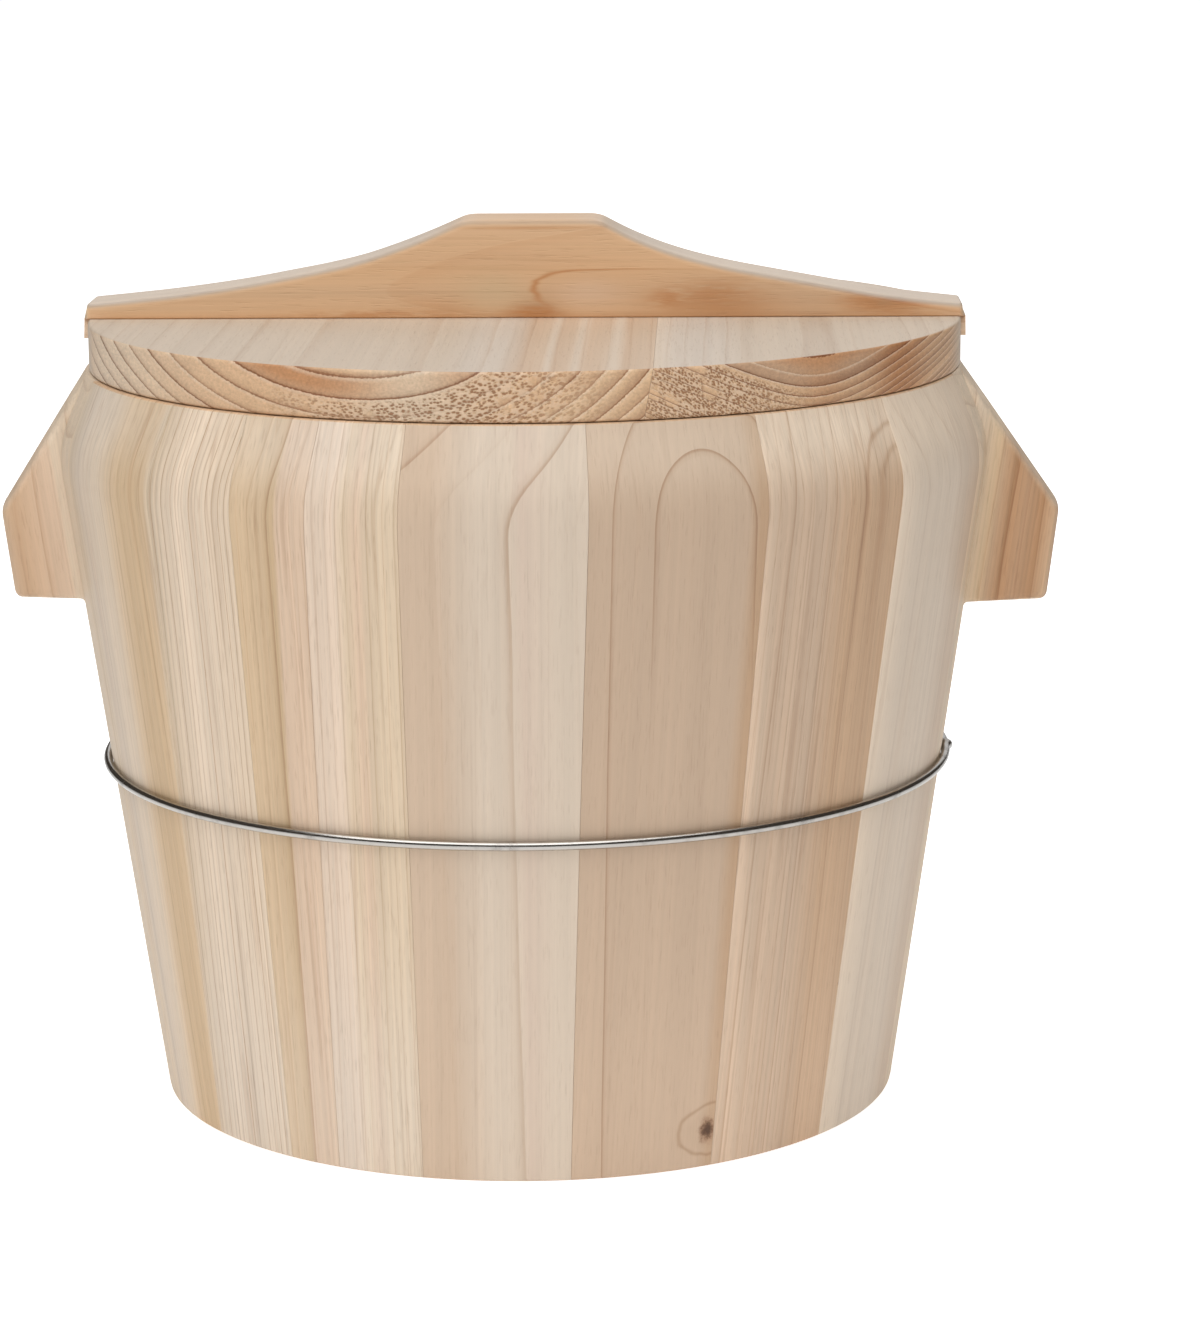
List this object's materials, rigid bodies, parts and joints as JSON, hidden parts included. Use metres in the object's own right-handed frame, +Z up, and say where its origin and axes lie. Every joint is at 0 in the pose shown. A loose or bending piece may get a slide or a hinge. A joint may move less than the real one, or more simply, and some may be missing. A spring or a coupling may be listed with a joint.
{
  "type": "wooden rice steamer",
  "caption": "Round tapered steamer tub of coopered staves in a wire hoop, with ear hand holds, a loose board lid with a humped batten grip, and a lift-out slatted grate over an open base.",
  "frame": {"origin": "middle of the open base, on the surface that the tub stands on", "axes": "+Z up along the tub's axis, +X from the left ear to the right one, -Y to the front"},
  "size_m": [0.3353, 0.2934, 0.2787],
  "materials": {
    "stave_wood": "bare planed softwood, matt",
    "ear_wood": "bare planed softwood, eased edges",
    "lid_wood": "bare softwood, sawn end grain round the rim",
    "batten_wood": "bare planed softwood, satin",
    "grate_wood": "bare sawn softwood, matt",
    "bamboo": "split bamboo, satin",
    "hoop_wire": "drawn steel wire, polished by wear"
  },
  "bodies": {
    "tub": {"front_stave_1": "stave_wood", "front_stave_2": "stave_wood", "front_stave_3": "stave_wood", "front_stave_4": "stave_wood", "front_stave_5": "stave_wood", "front_stave_6": "stave_wood", "front_stave_7": "stave_wood", "front_stave_8": "stave_wood", "back_stave_1": "stave_wood", "back_stave_2": "stave_wood", "back_stave_3": "stave_wood", "back_stave_4": "stave_wood", "back_stave_5": "stave_wood", "back_stave_6": "stave_wood", "back_stave_7": "stave_wood", "left_ear_stave": "ear_wood", "right_ear_stave": "ear_wood", "stave_pin_1": "bamboo", "stave_pin_2": "bamboo", "stave_pin_3": "bamboo", "stave_pin_4": "bamboo", "stave_pin_5": "bamboo", "stave_pin_6": "bamboo", "stave_pin_7": "bamboo", "stave_pin_8": "bamboo", "stave_pin_9": "bamboo", "stave_pin_10": "bamboo", "stave_pin_11": "bamboo", "stave_pin_12": "bamboo", "stave_pin_13": "bamboo", "stave_pin_14": "bamboo", "stave_pin_15": "bamboo", "stave_pin_16": "bamboo", "stave_pin_17": "bamboo", "wire_hoop": "hoop_wire", "cross_bar_upper": "grate_wood", "cross_bar_lower": "grate_wood"},
    "lid": {"lid_board_left": "lid_wood", "lid_board_right": "lid_wood", "lid_dowel_1": "bamboo", "lid_dowel_2": "bamboo", "lid_batten": "batten_wood"},
    "grate": {"grate_bearer_left": "grate_wood", "grate_bearer_right": "grate_wood", "grate_slat_1": "grate_wood", "grate_slat_2": "grate_wood", "grate_slat_3": "grate_wood", "grate_slat_4": "grate_wood", "grate_slat_5": "grate_wood", "grate_slat_6": "grate_wood", "grate_slat_7": "grate_wood", "grate_slat_8": "grate_wood", "grate_slat_9": "grate_wood"}
  },
  "joints": [
    {"name": "lid_lift", "type": "slide", "parent": "tub", "child": "lid", "axis": [0, 0, 1], "range_m": [0, 0.25]},
    {"name": "grate_lift", "type": "slide", "parent": "tub", "child": "grate", "axis": [0, 0, 1], "range_m": [0, 0.17]}
  ]
}
